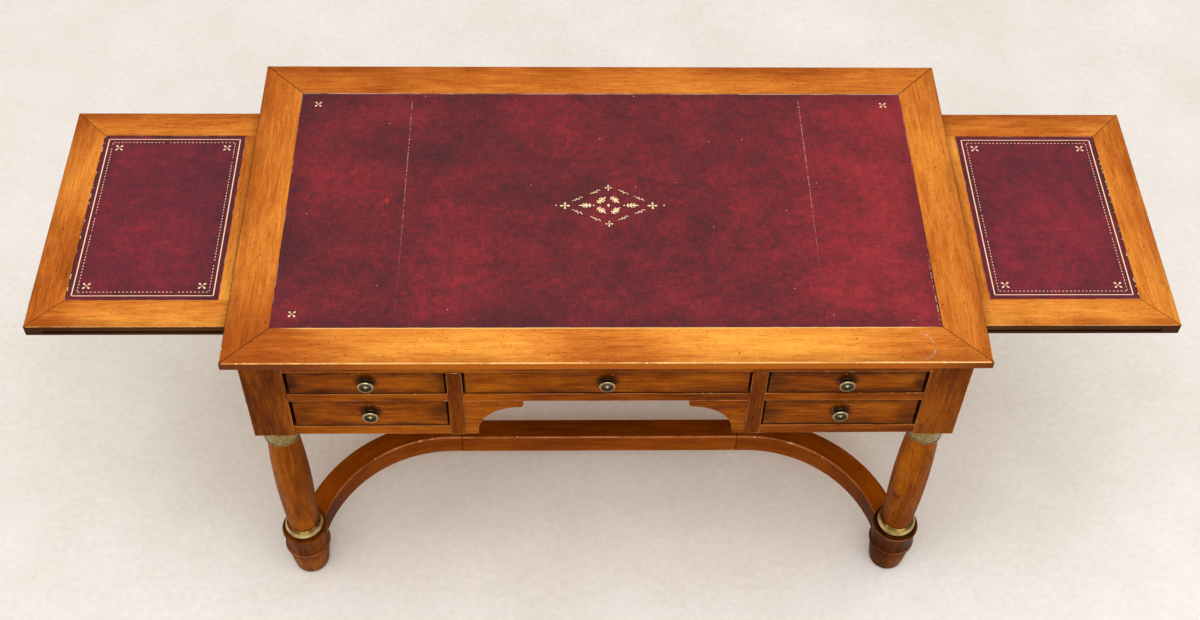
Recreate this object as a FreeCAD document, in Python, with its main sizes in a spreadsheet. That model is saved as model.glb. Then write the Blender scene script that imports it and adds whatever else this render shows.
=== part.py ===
import FreeCAD, Part
import math
import os
import Sketcher
from types import SimpleNamespace

# Partners desk: a leather-lined top on a frieze of ten drawers, two writing slides, four turned legs
# and two bowed stretchers. Millimetres, origin on the floor under the middle of the desk, X to the
# right, Z up, and the front at negative Y. The slides are drawn out and the drawers are shut.

LENGTHS = {
    # top
    "top_width": 1400.0,
    "top_depth": 780.0,
    "desk_height": 795.0,
    "top_thickness": 21.0,
    "top_border": 82.0,
    "top_upper_round": 3.0,
    "top_lower_round": 5.0,
    "hide_thickness": 1.5,
    "hide_drop": 0.4,
    "left_seam": 391.0,
    "right_seam": 405.5,
    "core_tongue": 9.0,
    "core_tongue_thickness": 7.0,
    # frieze
    "side_overhang": 25.0,
    "front_overhang": 21.0,
    "post_side": 78.0,
    "post_height": 238.0,
    "rail_lift": 4.0,
    "rail_setback": 1.5,
    "rail_depth": 22.0,
    "top_rail_height": 37.0,
    "upper_opening": 67.0,
    "divider_height": 23.0,
    "bottom_rail_height": 26.0,
    "centre_bay": 537.0,
    "stile_width": 29.0,
    "tenon_length": 12.0,
    "tenon_thickness": 9.0,
    "tenon_shoulder": 4.0,
    "side_panel_thickness": 18.0,
    "side_panel_setback": 4.0,
    "panel_tongue": 10.0,
    "panel_tongue_thickness": 8.0,
    "partition_thickness": 18.0,
    "spine_thickness": 14.0,
    "runner_bearing": 18.0,
    "runner_fence_width": 12.0,
    "runner_fence_height": 12.0,
    # arched apron under the middle drawer
    "bracket_thickness": 18.0,
    "bracket_foot": 24.0,
    "bracket_foot_rise": 7.0,
    "bracket_hollow_radius": 80.0,
    "bracket_nose_radius": 8.0,
    # turned legs
    "leg_inset": 3.0,
    "column_base_radius": 31.0,
    "column_swell": 6.3,
    "column_neck_radius": 30.5,
    "ring_seat_radius": 29.0,
    "leg_tenon_radius": 14.0,
    "leg_tenon_length": 20.0,
    "capital_height": 43.5,
    "capital_band_radius": 37.0,
    "capital_foot_radius": 34.6,
    "capital_lip_radius": 35.4,
    "capital_lip_height": 3.0,
    "capital_rim_radius": 38.5,
    "capital_rim_height": 6.0,
    "capital_rim_swell": 1.2,
    "base_ring_height": 26.0,
    "base_ring_lip_height": 6.0,
    "base_ring_radius": 36.0,
    "base_ring_swell": 4.0,
    "base_ring_lip_radius": 33.0,
    "drum_top": 141.5,
    "drum_foot": 86.0,
    "drum_radius": 48.3,
    "drum_waist_radius": 45.5,
    "drum_hollow": 1.5,
    "drum_arris": 4.0,
    "bead_height": 9.0,
    "bead_root_radius": 44.5,
    "bead_swell": 3.8,
    "foot_shoulder_radius": 43.0,
    "foot_toe_radius": 37.0,
    "foot_toe_round": 9.0,
    "foot_swell": 1.5,
    # stretchers
    "stretcher_foot": 86.5,
    "stretcher_top": 139.5,
    "stretcher_width": 47.0,
    "stretcher_gap": 118.0,
    "bend_bite": 36.5,
    "bend_lead": 46.0,
    "bend_tail": 23.0,
    "stretcher_tenon": 22.0,
    "stretcher_tenon_thickness": 15.0,
    "stretcher_tenon_shoulder": 10.0,
    # writing slides
    "slide_reach": 403.0,
    "slide_tail": 261.0,
    "slide_thickness": 24.0,
    "slide_head_gap": 11.0,
    "slide_border": 64.0,
    "slide_field_inset": 53.0,
    "slide_tail_mitre": 187.0,
    "slide_core_rise": 4.0,
    "slide_groove_rise": 5.5,
    "slide_groove_height": 6.0,
    "slide_groove_depth": 6.0,
    "slide_groove_stop": 33.0,
    "guide_thickness": 10.5,
    "guide_stop": 3.0,
    # drawers
    "drawer_setback": 2.0,
    "drawer_side_gap": 4.5,
    "drawer_post_gap": 2.0,
    "drawer_head_gap": 1.5,
    "drawer_foot_gap": 3.0,
    "drawer_lift": 0.5,
    "drawer_stop_gap": 1.0,
    "face_thickness": 20.0,
    "drawer_board": 10.0,
    "drawer_bottom": 6.0,
    "drawer_bottom_rise": 8.0,
    "drawer_groove": 5.0,
    "drawer_side_drop": 8.0,
    "tail_length": 14.0,
    "tail_flare": 2.5,
    # knobs
    "knob_radius": 14.6,
    "knob_projection": 12.0,
    "knob_rim": 1.3,
    "knob_edge": 2.4,
    "knob_dish": 2.2,
    "knob_button_radius": 4.0,
    "knob_button_rise": 2.6,
    "knob_button_flat": 1.2,
    "knob_button_bow": 4.0,
    "knob_dish_bow": 23.0,
    "knob_flare": 17.0,
    "knob_neck_radius": 6.5,
    "knob_plate_radius": 11.8,
    "knob_plate_thickness": 3.0,
    "knob_plate_bow": 4.8,
    "knob_stud_radius": 3.0,
    "knob_nut_side": 13.0,
    "knob_nut_thickness": 5.0,
    "knob_stud_end": 3.0,
    # clearances, and how far a cutter runs past the face that it opens
    "joint_clearance": 0.2,
    "turned_clearance": 0.3,
    "slide_clearance": 0.5,
    "overrun": 5.0,
}

# Where the two dovetails sit up a drawer side, and their root width, as shares of its height.
TAIL_CENTRE_SHARES = (0.27, 0.73)
TAIL_ROOT_SHARE = 0.26

doc = FreeCAD.newDocument("partners_desk")
sheet = doc.addObject("Spreadsheet::Sheet", "Sizes")
for row, (alias, millimetres) in enumerate(LENGTHS.items(), start=1):
    sheet.set(f"A{row}", alias)
    sheet.set(f"B{row}", str(millimetres))
    sheet.setAlias(f"B{row}", alias)
doc.recompute()


class Length:
    """A length: its value in millimetres and the sheet expression that gives it."""

    def __init__(self, value, text):
        self.value = value
        self.text = text

    def __add__(self, other):
        return Length(self.value + value_of(other), f"({self.text} + {text_of(other)})")

    def __sub__(self, other):
        return Length(self.value - value_of(other), f"({self.text} - {text_of(other)})")

    def __mul__(self, other):
        return Length(self.value * value_of(other), f"({self.text} * {text_of(other)})")

    def __truediv__(self, other):
        return Length(self.value / value_of(other), f"({self.text} / {text_of(other)})")

    def __neg__(self):
        return Length(-self.value, f"(0 - {self.text})")

    def root(self):
        return Length(math.sqrt(self.value), f"sqrt({self.text})")


def value_of(term):
    return term.value if isinstance(term, Length) else term


def text_of(term):
    return term.text if isinstance(term, Length) else str(term)


mm = SimpleNamespace(**{alias: Length(value, f"Sizes.{alias}") for alias, value in LENGTHS.items()})
exported = []


# Operations


def slab(name, x, y, z):
    """A square board between two planes along each axis."""
    piece = doc.addObject("Part::Box", name)
    for side, axis, (low, high) in zip(("Length", "Width", "Height"), "xyz", (x, y, z)):
        piece.setExpression(side, text_of(high - low))
        piece.setExpression(f"Placement.Base.{axis}", text_of(low))
    return piece


def rod(name, radius, x, y, z):
    """An upright cylinder over a span of heights."""
    piece = doc.addObject("Part::Cylinder", name)
    piece.setExpression("Radius", text_of(radius))
    piece.setExpression("Height", text_of(z[1] - z[0]))
    return place(piece, x, y, z[0])


def cross_hole(name, middle, span):
    """A cutter for the knob's stud: a rod along the depth of the desk, over a span about the middle."""
    piece = doc.addObject("Part::Cylinder", name)
    piece.Placement.Rotation = FreeCAD.Rotation(FreeCAD.Vector(0, 0, 1), FreeCAD.Vector(0, 1, 0))
    piece.setExpression("Radius", text_of(mm.knob_stud_radius + mm.turned_clearance))
    piece.setExpression("Height", text_of(span[1] - span[0]))
    return place(piece, middle[0], middle[1] + span[0], middle[2])


def place(piece, x, y, z):
    for axis, distance in zip("xyz", (x, y, z)):
        piece.setExpression(f"Placement.Base.{axis}", text_of(distance))
    return piece


def combine(kind, name, base, tool):
    piece = doc.addObject(kind, name)
    piece.Base = base
    piece.Tool = tool
    return piece


def cut(name, base, *tools):
    tool = tools[0] if len(tools) == 1 else group(f"{name}_cutters", tools)
    return combine("Part::Cut", name, base, tool)


def common(name, base, tool):
    return combine("Part::Common", name, base, tool)


def fuse(name, *members):
    piece = doc.addObject("Part::MultiFuse", name)
    piece.Shapes = list(members)
    return piece


def group(name, members):
    piece = doc.addObject("Part::Compound", name)
    piece.Links = list(members)
    return piece


def mirrored(piece, axis):
    copy = doc.addObject("Part::Mirroring", f"{piece.Name}_mirror_{axis}")
    copy.Source = piece
    copy.Normal = FreeCAD.Vector(axis == "x", axis == "y", 0)
    return copy


def side_pair(piece):
    return [piece, mirrored(piece, "x")]


def depth_pair(piece):
    return [piece, mirrored(piece, "y")]


def four_corners(piece):
    front = side_pair(piece)
    return front + [mirrored(half, "y") for half in front]


def node(label, piece):
    piece.Label = label
    exported.append(piece)


def arc_over(start, finish, radius):
    """The short arc between two points, turning left for a positive radius and right for a negative."""
    chord = finish - start
    left = FreeCAD.Vector(-chord.y, chord.x, 0).normalize()
    offset = math.sqrt(max(radius * radius - chord.Length * chord.Length / 4, 0))
    centre = (start + finish) / 2 + left * math.copysign(offset, radius)
    first, last = (start, finish) if radius > 0 else (finish, start)
    circle = Part.Circle(centre, FreeCAD.Vector(0, 0, 1), abs(radius))
    angles = [math.atan2(point.y - centre.y, point.x - centre.x) for point in (first, last)]
    return Part.ArcOfCircle(circle, *angles)


def draw(body, plane, corners, bows):
    """A closed outline on a plane of the body. A bow is the radius of the arc that leaves a corner."""
    sketch = body.newObject("Sketcher::SketchObject", f"{body.Name}_outline")
    support = next(item for item in body.Origin.OriginFeatures if item.Role == plane)
    sketch.AttachmentSupport = [(support, "")]
    sketch.MapMode = "FlatFace"
    points = [FreeCAD.Vector(value_of(across), value_of(up), 0) for across, up in corners]
    begins, ends = [], []
    for index, start in enumerate(points):
        finish = points[(index + 1) % len(points)]
        bow = value_of(bows.get(index, 0))
        sketch.addGeometry(arc_over(start, finish, bow) if bow else Part.LineSegment(start, finish))
        begins.append(2 if bow < 0 else 1)
        ends.append(1 if bow < 0 else 2)

    def constrain(kind, *where, to):
        number = sketch.addConstraint(Sketcher.Constraint(kind, *where, value_of(to)))
        sketch.setExpression(f"Constraints[{number}]", text_of(to))

    for index, (across, up) in enumerate(corners):
        before = (index - 1) % len(corners)
        sketch.addConstraint(Sketcher.Constraint("Coincident", before, ends[before], index, begins[index]))
        constrain("DistanceX", -1, 1, index, begins[index], to=across)
        constrain("DistanceY", -1, 1, index, begins[index], to=up)
    for index, bow in bows.items():
        constrain("Radius", index, to=bow if bow.value > 0 else -bow)
    return sketch


def shaped(name, plane, corners, bows, thickness):
    """A board of constant thickness, centred on the plane that its outline is drawn on."""
    body = doc.addObject("PartDesign::Body", name)
    sketch = draw(body, plane, corners, bows)
    pad = body.newObject("PartDesign::Pad", f"{name}_pad")
    pad.Profile = sketch
    pad.SideType = "Symmetric"
    pad.setExpression("Length", text_of(thickness))
    return body


def turned(name, plane, corners, bows):
    """A turned piece: its half section spun about the upright axis of the sketch."""
    body = doc.addObject("PartDesign::Body", name)
    sketch = draw(body, plane, corners, bows)
    turning = body.newObject("PartDesign::Revolution", f"{name}_turning")
    turning.Profile = sketch
    turning.ReferenceAxis = (sketch, ["V_Axis"])
    turning.Angle = 360
    return body


def bow_radius(chord, swell):
    """The radius of an arc that rises by swell over a chord."""
    return chord * chord / swell / 8 + swell / 2


# Planes that several pieces share

half_width = mm.top_width / 2
half_depth = mm.top_depth / 2
top_under = mm.desk_height - mm.top_thickness
case_x = half_width - mm.side_overhang
case_y = half_depth - mm.front_overhang
post_x = case_x - mm.post_side
bank_edge = post_x - mm.drawer_post_gap
post_y = case_y - mm.post_side
post_under = top_under - mm.post_height
leg_x = case_x - mm.post_side / 2 - mm.leg_inset
leg_y = case_y - mm.post_side / 2
rail_front = mm.rail_setback - case_y
rail_back = rail_front + mm.rail_depth
rail_middle = (rail_front + rail_back) / 2
frieze_under = post_under + mm.rail_lift
bottom_rail_top = frieze_under + mm.bottom_rail_height
upper_opening_top = top_under - mm.top_rail_height
divider_top = upper_opening_top - mm.upper_opening
divider_under = divider_top - mm.divider_height
stile_inner = mm.centre_bay / 2
stile_outer = stile_inner + mm.stile_width
stile_middle = (stile_inner + stile_outer) / 2
panel_outer = case_x - mm.side_panel_setback
panel_inner = panel_outer - mm.side_panel_thickness
partition_inner = stile_middle - mm.partition_thickness / 2
partition_outer = stile_middle + mm.partition_thickness / 2
spine_face = mm.spine_thickness / 2


def across(reach):
    """The span that reaches as far to both sides of the middle."""
    return (-reach, reach)


def lined_board(name, x, y, z, tongue):
    """A core board with a tongue worked around its edge at half its thickness."""
    middle = (z[0] + z[1]) / 2
    half = mm.core_tongue_thickness / 2
    field = slab(f"{name}_field", x, y, z)
    lip = slab(f"{name}_tongue", (x[0] - tongue, x[1] + tongue), (y[0] - tongue, y[1] + tongue),
               (middle - half, middle + half))
    return fuse(name, field, lip)


def top():
    """The mitred border, the core board that it grips, and three skins of leather."""
    field_x = half_width - mm.top_border
    field_y = half_depth - mm.top_border
    hide_top = mm.desk_height - mm.hide_drop
    hide_under = hide_top - mm.hide_thickness
    core = lined_board("top_core", across(field_x), across(field_y), (top_under, hide_under), mm.core_tongue)
    long_corners = [(-half_width, -half_depth), (half_width, -half_depth), (field_x, -field_y),
                    (-field_x, -field_y)]
    short_corners = [(half_width, -half_depth), (half_width, half_depth), (field_x, field_y),
                     (field_x, -field_y)]
    front = border("top_border_front", long_corners, core)
    right = border("top_border_right", short_corners, core)
    node("top_border_front", front)
    node("top_border_back", mirrored(front, "y"))
    node("top_border_right", right)
    node("top_border_left", mirrored(right, "x"))
    node("top_core", core)
    cuts = (-field_x, -mm.left_seam, mm.right_seam, field_x)
    hides = [slab(f"{name}_hide", span, across(field_y), (hide_under, hide_top))
             for name, span in zip(("left", "middle", "right"), zip(cuts, cuts[1:]))]
    node("top_leather", group("top_leather", hides))


def border(name, corners, core):
    """One mitred border board: rounded along its outer edge, grooved for the tongue of the core."""
    board = shaped(f"{name}_board", "XY_Plane", corners, {}, mm.top_thickness)
    place(board, 0, 0, mm.desk_height - mm.top_thickness / 2)
    doc.recompute()
    for height, radius in ((1, mm.top_upper_round), (-1, mm.top_lower_round)):
        round_edge(board, corners[0], corners[1], height * mm.top_thickness.value / 2, radius)
    return cut(name, board, core)


def round_edge(body, start, finish, height, radius):
    """Round the body's straight edge that runs between two plan points at a height."""
    ends = [FreeCAD.Vector(value_of(x), value_of(y), height) for x, y in (start, finish)]
    middle = (ends[0] + ends[1]) / 2
    base = body.Tip
    distances = [edge.CenterOfMass.distanceToPoint(middle) for edge in base.Shape.Edges]
    nearest = distances.index(min(distances)) + 1
    rounding = body.newObject("PartDesign::Fillet", f"{body.Name}_round")
    rounding.Base = (base, [f"Edge{nearest}"])
    rounding.setExpression("Radius", text_of(radius))
    doc.recompute()


def tenon(name, shoulder, way, z, slack):
    """The stub tenon that leaves a shoulder along X; with slack it is the mortise for that tenon."""
    reach = mm.tenon_length + slack
    x = (shoulder, shoulder + reach) if way > 0 else (shoulder - reach, shoulder)
    half = mm.tenon_thickness / 2 + slack
    trim = mm.tenon_shoulder - slack
    return slab(name, x, (rail_middle - half, rail_middle + half), (z[0] + trim, z[1] - trim))


def stile_tenon(name, slack):
    """The stub tenon on top of the right-hand front stile, or with slack its mortise in the top rail."""
    half_x = mm.stile_width / 2 - mm.tenon_shoulder + slack
    half_y = mm.tenon_thickness / 2 + slack
    return slab(name, (stile_middle - half_x, stile_middle + half_x),
                (rail_middle - half_y, rail_middle + half_y),
                (upper_opening_top, upper_opening_top + mm.tenon_length + slack))


def rail(name, x, z):
    """A front rail between two shoulders, with a stub tenon at each end."""
    body = slab(f"{name}_body", x, (rail_front, rail_back), z)
    left = tenon(f"{name}_left_tenon", x[0], -1, z, 0)
    right = tenon(f"{name}_right_tenon", x[1], 1, z, 0)
    return fuse(name, body, left, right)


TOP_RAIL_Z = (upper_opening_top, top_under)
DIVIDER_Z = (divider_under, divider_top)
BOTTOM_RAIL_Z = (frieze_under, bottom_rail_top)


def panel_tongue(name, y, slack):
    """The tongue of the right-hand side panel, or with slack the groove for it."""
    middle = (panel_outer + panel_inner) / 2
    half = mm.panel_tongue_thickness / 2 + slack
    return slab(name, (middle - half, middle + half), y, (frieze_under - slack, upper_opening_top + slack))


def frieze():
    """Posts, rails and stiles, tenoned together, with the panels that close the ends."""
    slack = mm.joint_clearance
    post = slab("post_block", (post_x, case_x), (-case_y, -post_y), (post_under, top_under))
    mortises = [tenon(f"post_mortise_{index}", post_x, 1, z, slack)
                for index, z in enumerate((TOP_RAIL_Z, DIVIDER_Z, BOTTOM_RAIL_Z))]
    groove = panel_tongue("post_groove", (-post_y - mm.panel_tongue - slack, -post_y), slack)
    bore = rod("post_bore", mm.leg_tenon_radius + mm.turned_clearance, leg_x, -leg_y,
               (post_under, post_under + mm.leg_tenon_length + slack))
    node("corner_posts", group("corner_posts", four_corners(cut("post", post, *mortises, groove, bore))))

    stile_mortise = stile_tenon("stile_mortise", slack)
    top_rail = cut("top_rail", rail("top_rail_board", across(post_x), TOP_RAIL_Z), *side_pair(stile_mortise))
    node("top_rails", group("top_rails", depth_pair(top_rail)))

    bank = (stile_outer, post_x)
    bank_divider = rail("bank_divider", bank, DIVIDER_Z)
    middle_divider = rail("middle_divider", across(stile_inner), DIVIDER_Z)
    dividers = four_corners(bank_divider) + depth_pair(middle_divider)
    node("divider_rails", group("divider_rails", dividers))
    node("bottom_rails", group("bottom_rails", four_corners(rail("bottom_rail", bank, BOTTOM_RAIL_Z))))

    stile_board = slab("stile_board", (stile_inner, stile_outer), (-case_y, rail_back),
                       (frieze_under, upper_opening_top))
    stile_mortises = [tenon("stile_mortise_outer", stile_outer, -1, DIVIDER_Z, slack),
                      tenon("stile_mortise_low", stile_outer, -1, BOTTOM_RAIL_Z, slack),
                      tenon("stile_mortise_inner", stile_inner, 1, DIVIDER_Z, slack)]
    stile = cut("stile", fuse("stile_blank", stile_board, stile_tenon("stile_head", 0)), *stile_mortises)
    node("stiles", group("stiles", four_corners(stile)))

    panel = slab("side_panel_board", (panel_inner, panel_outer), across(post_y),
                 (frieze_under, upper_opening_top))
    tongue = panel_tongue("side_panel_tongue", across(post_y + mm.panel_tongue), 0)
    node("side_panels", group("side_panels", side_pair(fuse("side_panel", panel, tongue))))


def apron():
    """Ogee brackets that arch the knee space under the middle drawer."""
    hollow_x = stile_inner - mm.bracket_foot
    hollow_end = hollow_x - mm.bracket_hollow_radius
    hollow_foot = frieze_under + mm.bracket_foot_rise
    hollow_top = hollow_foot + mm.bracket_hollow_radius
    nose = hollow_end - mm.bracket_nose_radius
    corners = [(stile_inner, frieze_under), (stile_inner, divider_under), (nose, divider_under),
               (nose, hollow_top + mm.bracket_nose_radius), (hollow_end, hollow_top),
               (hollow_x, hollow_foot), (hollow_x, frieze_under)]
    bows = {3: mm.bracket_nose_radius, 4: -mm.bracket_hollow_radius}
    bracket = shaped("apron_bracket", "XZ_Plane", corners, bows, mm.bracket_thickness)
    place(bracket, 0, rail_front + mm.bracket_thickness / 2, 0)
    node("apron_brackets", group("apron_brackets", four_corners(bracket)))


def case_inside():
    """Partitions beside the knee space, the spine between front and back drawers, and the runners."""
    partition = slab("partition", (partition_inner, partition_outer), across(-rail_back),
                     (frieze_under, upper_opening_top))
    node("bay_partitions", group("bay_partitions", side_pair(partition)))

    bank_spine = slab("bank_spine", (partition_outer, panel_inner), across(spine_face),
                      (frieze_under, upper_opening_top))
    middle_spine = slab("middle_spine", across(partition_inner), across(spine_face),
                        (divider_under, upper_opening_top))
    node("spine_panels", group("spine_panels", side_pair(bank_spine) + [middle_spine]))

    runners = []
    for name, level in (("upper", DIVIDER_Z), ("lower", BOTTOM_RAIL_Z)):
        runners.append(outer_runner(f"{name}_outer_runner", level))
        runners.append(slab(f"{name}_inner_runner", (partition_outer, stile_outer + mm.runner_bearing),
                            (rail_back, -spine_face), level))
    runners.append(slab("middle_runner", (stile_inner - mm.runner_bearing, partition_inner),
                        (rail_back, -spine_face), DIVIDER_Z))
    placed = [copy for runner in runners for copy in four_corners(runner)]
    node("drawer_runners", group("drawer_runners", placed))


def outer_runner(name, level):
    """A runner notched around the post, with a fence that keeps the drawer straight."""
    inner = bank_edge - mm.runner_bearing
    corners = [(inner, rail_back), (post_x, rail_back), (post_x, -post_y), (panel_inner, -post_y),
               (panel_inner, -spine_face), (inner, -spine_face)]
    bed = shaped(f"{name}_bed", "XY_Plane", corners, {}, level[1] - level[0])
    place(bed, 0, 0, (level[0] + level[1]) / 2)
    fence = slab(f"{name}_fence", (bank_edge, bank_edge + mm.runner_fence_width), (-post_y, -spine_face),
                 (level[1], level[1] + mm.runner_fence_height))
    return fuse(name, bed, fence)


def legs():
    """Turned legs: foot and drum in one, a swelling column, and two brass rings on its ends."""
    capital_under = post_under - mm.capital_height
    ring_top = mm.drum_top + mm.base_ring_height
    seat = mm.ring_seat_radius
    pin = mm.leg_tenon_radius
    pin_head = post_under + mm.leg_tenon_length
    pin_foot = mm.drum_top - mm.leg_tenon_length
    shaft = [(0, pin_foot), (pin, pin_foot), (pin, mm.drum_top), (seat, mm.drum_top), (seat, ring_top),
             (mm.column_base_radius, ring_top), (mm.column_neck_radius, capital_under),
             (seat, capital_under), (seat, post_under), (pin, post_under), (pin, pin_head), (0, pin_head)]
    column = turned("column", "XZ_Plane", shaft, {5: bow_radius(capital_under - ring_top, mm.column_swell)})
    stand(column, "leg_columns")

    bore = seat + mm.turned_clearance
    rim_under = post_under - mm.capital_rim_height
    lip_top = capital_under + mm.capital_lip_height
    capital = turned("capital", "XZ_Plane", [
        (bore, capital_under), (mm.capital_lip_radius, capital_under), (mm.capital_lip_radius, lip_top),
        (mm.capital_foot_radius, lip_top), (mm.capital_band_radius, rim_under),
        (mm.capital_rim_radius, rim_under), (mm.capital_rim_radius, post_under), (bore, post_under)],
        {5: bow_radius(mm.capital_rim_height, mm.capital_rim_swell)})
    stand(capital, "capital_rings")

    lip_under = ring_top - mm.base_ring_lip_height
    ring = turned("base_ring", "XZ_Plane", [
        (bore, mm.drum_top), (mm.base_ring_radius, mm.drum_top), (mm.base_ring_radius, lip_under),
        (mm.base_ring_lip_radius, lip_under), (mm.base_ring_lip_radius, ring_top), (bore, ring_top)],
        {1: bow_radius(lip_under - mm.drum_top, mm.base_ring_swell)})
    stand(ring, "base_rings")

    foot = foot_and_drum()
    stand(foot, "leg_feet")
    return foot


def foot_and_drum():
    """A tapered foot, a bead and a hollow-sided drum, bored for the column."""
    hole = mm.leg_tenon_radius + mm.turned_clearance
    hole_under = mm.drum_top - mm.leg_tenon_length - mm.joint_clearance
    bead_under = mm.drum_foot - mm.bead_height
    drum_shoulder = mm.drum_top - mm.drum_arris
    corners = [(0, 0), (mm.foot_toe_radius - mm.foot_toe_round, 0), (mm.foot_toe_radius, mm.foot_toe_round),
               (mm.foot_shoulder_radius, bead_under), (mm.bead_root_radius, bead_under),
               (mm.bead_root_radius, mm.drum_foot), (mm.drum_waist_radius, mm.drum_foot),
               (mm.drum_radius, drum_shoulder), (mm.drum_radius - mm.drum_arris, mm.drum_top),
               (hole, mm.drum_top), (hole, hole_under), (0, hole_under)]
    bows = {1: mm.foot_toe_round,
            2: bow_radius(bead_under - mm.foot_toe_round, mm.foot_swell),
            4: bow_radius(mm.bead_height, mm.bead_swell),
            6: -bow_radius(drum_shoulder - mm.drum_foot, mm.drum_hollow),
            7: mm.drum_arris}
    return turned("foot", "XZ_Plane", corners, bows)


def stand(piece, label):
    """Stand a turned piece under the right-hand front post, and its copies under the others."""
    place(piece, leg_x, -leg_y, 0)
    node(label, group(label, four_corners(piece)))


def stretchers(foot):
    """A straight rail and two quarter bends on each side, the bends coped against the drums."""
    inner_radius = leg_y + mm.bend_lead - mm.stretcher_width - mm.stretcher_gap / 2
    outer_radius = inner_radius + mm.stretcher_width
    to_leg = inner_radius + mm.bend_bite
    reach = (to_leg * to_leg - mm.bend_lead * mm.bend_lead).root()
    centre_x = leg_x - reach
    centre_y = -leg_y - mm.bend_lead
    front = centre_y + inner_radius
    back = centre_y + outer_radius
    joint_x = centre_x - mm.bend_tail
    height = (mm.stretcher_foot, mm.stretcher_top)
    inner_share = inner_radius / to_leg
    outer_share = outer_radius / to_leg
    corners = [(joint_x, front), (centre_x, front),
               (centre_x + reach * inner_share, centre_y + mm.bend_lead * inner_share),
               (centre_x + reach * outer_share, centre_y + mm.bend_lead * outer_share),
               (centre_x, back), (joint_x, back)]
    blank = shaped("bend_blank", "XY_Plane", corners, {1: -inner_radius, 3: outer_radius},
                   mm.stretcher_top - mm.stretcher_foot)
    place(blank, 0, 0, (mm.stretcher_foot + mm.stretcher_top) / 2)
    heart = rod("drum_heart", mm.leg_tenon_radius + mm.overrun, leg_x, -leg_y, height)
    mortise = stretcher_tenon("bend_mortise", joint_x, (front + back) / 2, mm.joint_clearance)
    bend = cut("bend", blank, foot, heart, mortise)
    node("stretcher_bends", group("stretcher_bends", four_corners(bend)))

    bar = slab("stretcher_bar", across(joint_x), (front, back), height)
    ends = side_pair(stretcher_tenon("stretcher_tenon", joint_x, (front + back) / 2, 0))
    node("stretcher_rails", group("stretcher_rails", depth_pair(fuse("stretcher_rail", bar, *ends))))


def stretcher_tenon(name, shoulder, middle, slack):
    """The tenon at the right-hand end of a stretcher rail, or with slack its mortise."""
    half = mm.stretcher_tenon_thickness / 2 + slack
    trim = mm.stretcher_tenon_shoulder - slack
    return slab(name, (shoulder, shoulder + mm.stretcher_tenon + slack), (middle - half, middle + half),
                (mm.stretcher_foot + trim, mm.stretcher_top - trim))


slide_side = post_y - mm.guide_thickness - mm.slide_clearance
slide_top = top_under - mm.slide_head_gap
slide_under = slide_top - mm.slide_thickness
groove_under = slide_under + mm.slide_groove_rise
groove_top = groove_under + mm.slide_groove_height


def slides():
    """Two writing slides: a mitred frame grooved along its edges, a core and a leather field."""
    end = case_x + mm.slide_reach
    tail = case_x - mm.slide_tail
    side = slide_side
    field_x = (case_x + mm.slide_field_inset, end - mm.slide_border)
    field_y = side - mm.slide_border
    hide_top = slide_top - mm.hide_drop
    hide_under = hide_top - mm.hide_thickness
    core = lined_board("slide_core", field_x, across(field_y), (slide_under + mm.slide_core_rise, hide_under),
                       mm.core_tongue)
    hide = slab("slide_hide", field_x, across(field_y), (hide_under, hide_top))
    well = slab("slide_well", field_x, across(field_y),
                (slide_under - mm.overrun, slide_top + mm.overrun))
    groove = slab("slide_groove", (tail - mm.overrun, end - mm.slide_groove_stop),
                  (side - mm.slide_groove_depth, side + mm.overrun), (groove_under, groove_top))
    board = slab("slide_board", (tail, end), across(side), (slide_under, slide_top))
    blank = cut("slide_blank", board, core, well, *depth_pair(groove))

    mitre = field_x[0] - mm.slide_tail_mitre
    outlines = {
        "end": [(end, -side), (end, side), (field_x[1], field_y), (field_x[1], -field_y)],
        "front": [(mitre, -side), (end, -side), (field_x[1], -field_y), (field_x[0], -field_y)],
        "back": [(mitre, side), (field_x[0], field_y), (field_x[1], field_y), (end, side)],
        "tail": [(tail, -side), (mitre, -side), (field_x[0], -field_y), (field_x[0], field_y),
                 (mitre, side), (tail, side)],
    }
    rails = []
    for name, corners in outlines.items():
        template = shaped(f"slide_{name}_template", "XY_Plane", corners, {}, mm.slide_thickness)
        place(template, 0, 0, slide_top - mm.slide_thickness / 2)
        rails.append(common(f"slide_{name}_rail", blank, template))
    frame = group("slide_frame", rails)
    for piece, label in ((frame, "frame"), (core, "core"), (hide, "leather")):
        node(f"slide_right_{label}", piece)
        node(f"slide_left_{label}", mirrored(piece, "x"))


def slide_mouths():
    """Boards between the posts, over the side panels, slotted for the slides to pass."""
    board = slab("mouth_board", (panel_inner, panel_outer), across(post_y), (upper_opening_top, top_under))
    slot = slab("mouth_slot", (panel_inner - mm.overrun, panel_outer + mm.overrun),
                across(slide_side + mm.slide_clearance),
                (upper_opening_top - mm.overrun, slide_top + mm.slide_clearance))
    node("slide_mouths", group("slide_mouths", side_pair(cut("slide_mouth", board, slot))))


def slide_guides():
    """Guides under the top whose tongues carry the slides by their grooves."""
    web = post_y - mm.guide_thickness
    tip = web - mm.slide_groove_depth
    reach = case_x - mm.slide_groove_stop - mm.guide_stop
    tongue_under = groove_under + mm.slide_clearance
    tongue_top = groove_top - mm.slide_clearance
    corners = [(post_y, upper_opening_top), (post_y, top_under), (web, top_under), (web, tongue_top),
               (tip, tongue_top), (tip, tongue_under), (web, tongue_under), (web, upper_opening_top)]
    guide = shaped("slide_guide", "YZ_Plane", corners, {}, reach * 2)
    node("slide_guides", group("slide_guides", depth_pair(guide)))


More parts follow.
